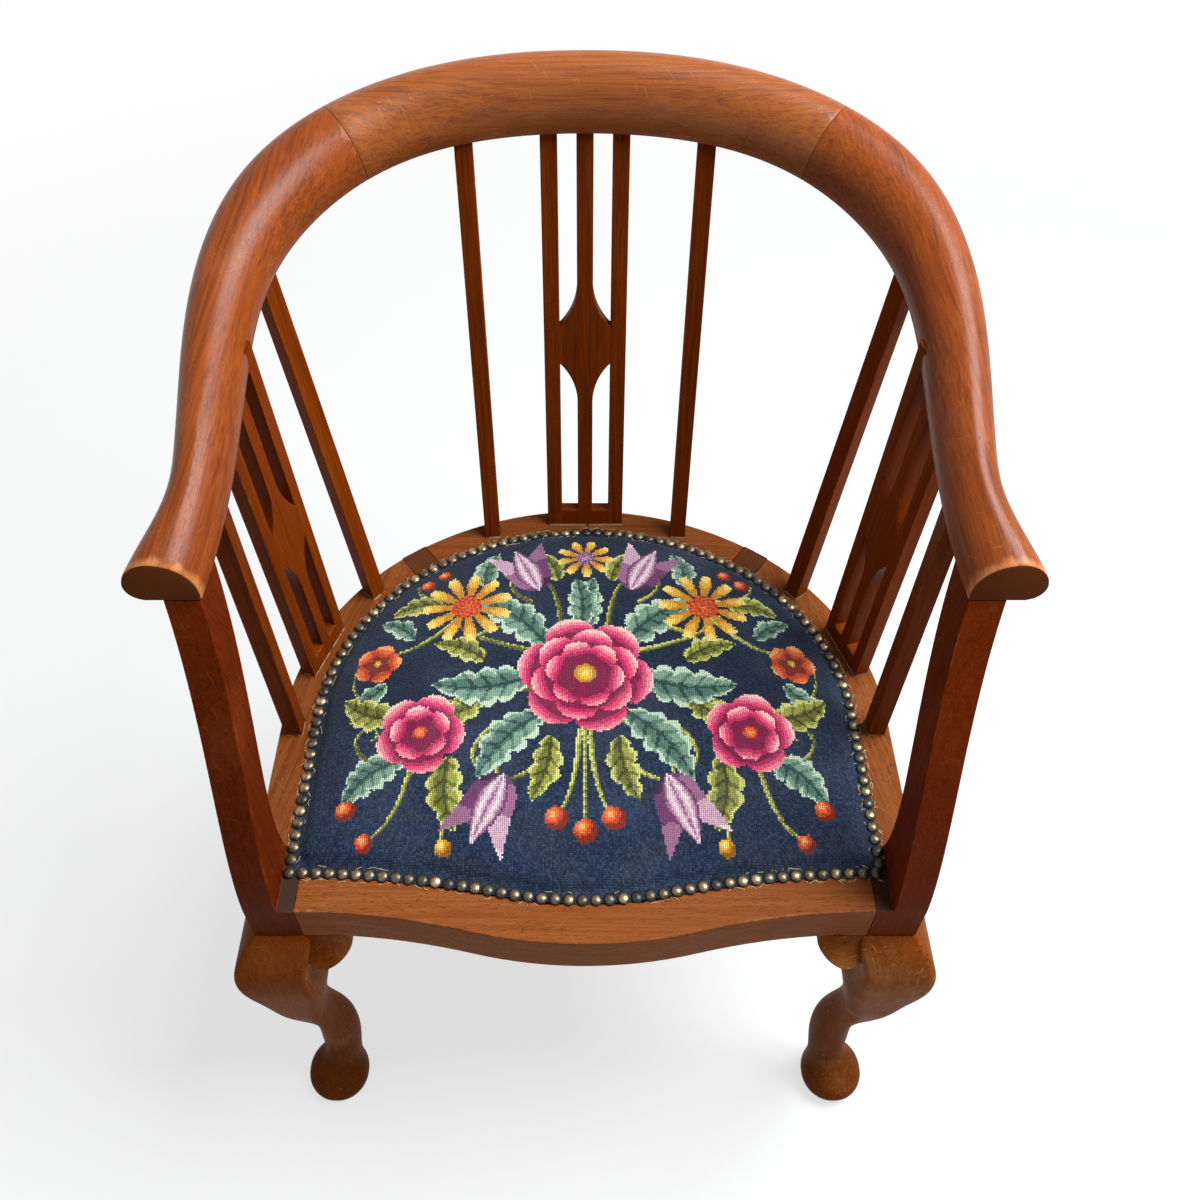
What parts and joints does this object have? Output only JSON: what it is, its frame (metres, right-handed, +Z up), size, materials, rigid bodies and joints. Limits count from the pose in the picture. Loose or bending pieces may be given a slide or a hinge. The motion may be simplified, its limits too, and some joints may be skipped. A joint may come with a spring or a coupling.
{
  "type": "tub armchair",
  "caption": "Tub armchair with a horseshoe top rail, pierced splats, square spindles, cabriole front legs and a crowned needlepoint seat edged with dome nails.",
  "frame": {"origin": "on the floor under the middle of the whole chair", "axes": "+Z up, the front faces -Y, X runs across the chair and x = 0 is its plane of symmetry"},
  "size_m": [0.602, 0.5512, 0.863],
  "materials": {
    "mahogany": "worn polish",
    "beech": "bare",
    "screw_steel": "dull",
    "webbing": "woven jute",
    "hessian": "woven jute",
    "stuffing": "fibre",
    "calico": "plain weave",
    "needlepoint": "wool stitches",
    "nail_brass": "antiqued"
  },
  "bodies": {
    "root": {"crest_rail": "mahogany", "arm_rail_left": "mahogany", "arm_rail_right": "mahogany", "arm_post_left": "mahogany", "arm_post_right": "mahogany", "back_splat": "mahogany", "side_splat_left": "mahogany", "side_splat_right": "mahogany", "back_spindle_left": "mahogany", "back_spindle_right": "mahogany", "rear_side_spindle_left": "mahogany", "rear_side_spindle_right": "mahogany", "front_side_spindle_left": "mahogany", "front_side_spindle_right": "mahogany", "seat_rail_front": "mahogany", "seat_rail_left": "mahogany", "seat_rail_right": "mahogany", "seat_rail_back": "mahogany", "rear_leg_left": "mahogany", "rear_leg_right": "mahogany", "front_leg_left": "mahogany", "front_leg_right": "mahogany", "front_ear_left": "mahogany", "front_ear_right": "mahogany", "side_ear_left": "mahogany", "side_ear_right": "mahogany", "front_rail_dowels": "beech", "side_rail_dowels": "beech", "rear_leg_dowels": "beech", "front_leg_dowels": "beech", "arm_post_dowels": "beech", "crest_rail_dowels": "beech", "corner_block_left": "beech", "corner_block_right": "beech", "corner_block_screws": "screw_steel", "webbing_lengthwise": "webbing", "webbing_crosswise": "webbing", "hessian_base": "hessian", "seat_stuffing": "stuffing", "calico_cover": "calico", "needlepoint_cover": "needlepoint", "decorative_nails": "nail_brass"}
  },
  "joints": []
}
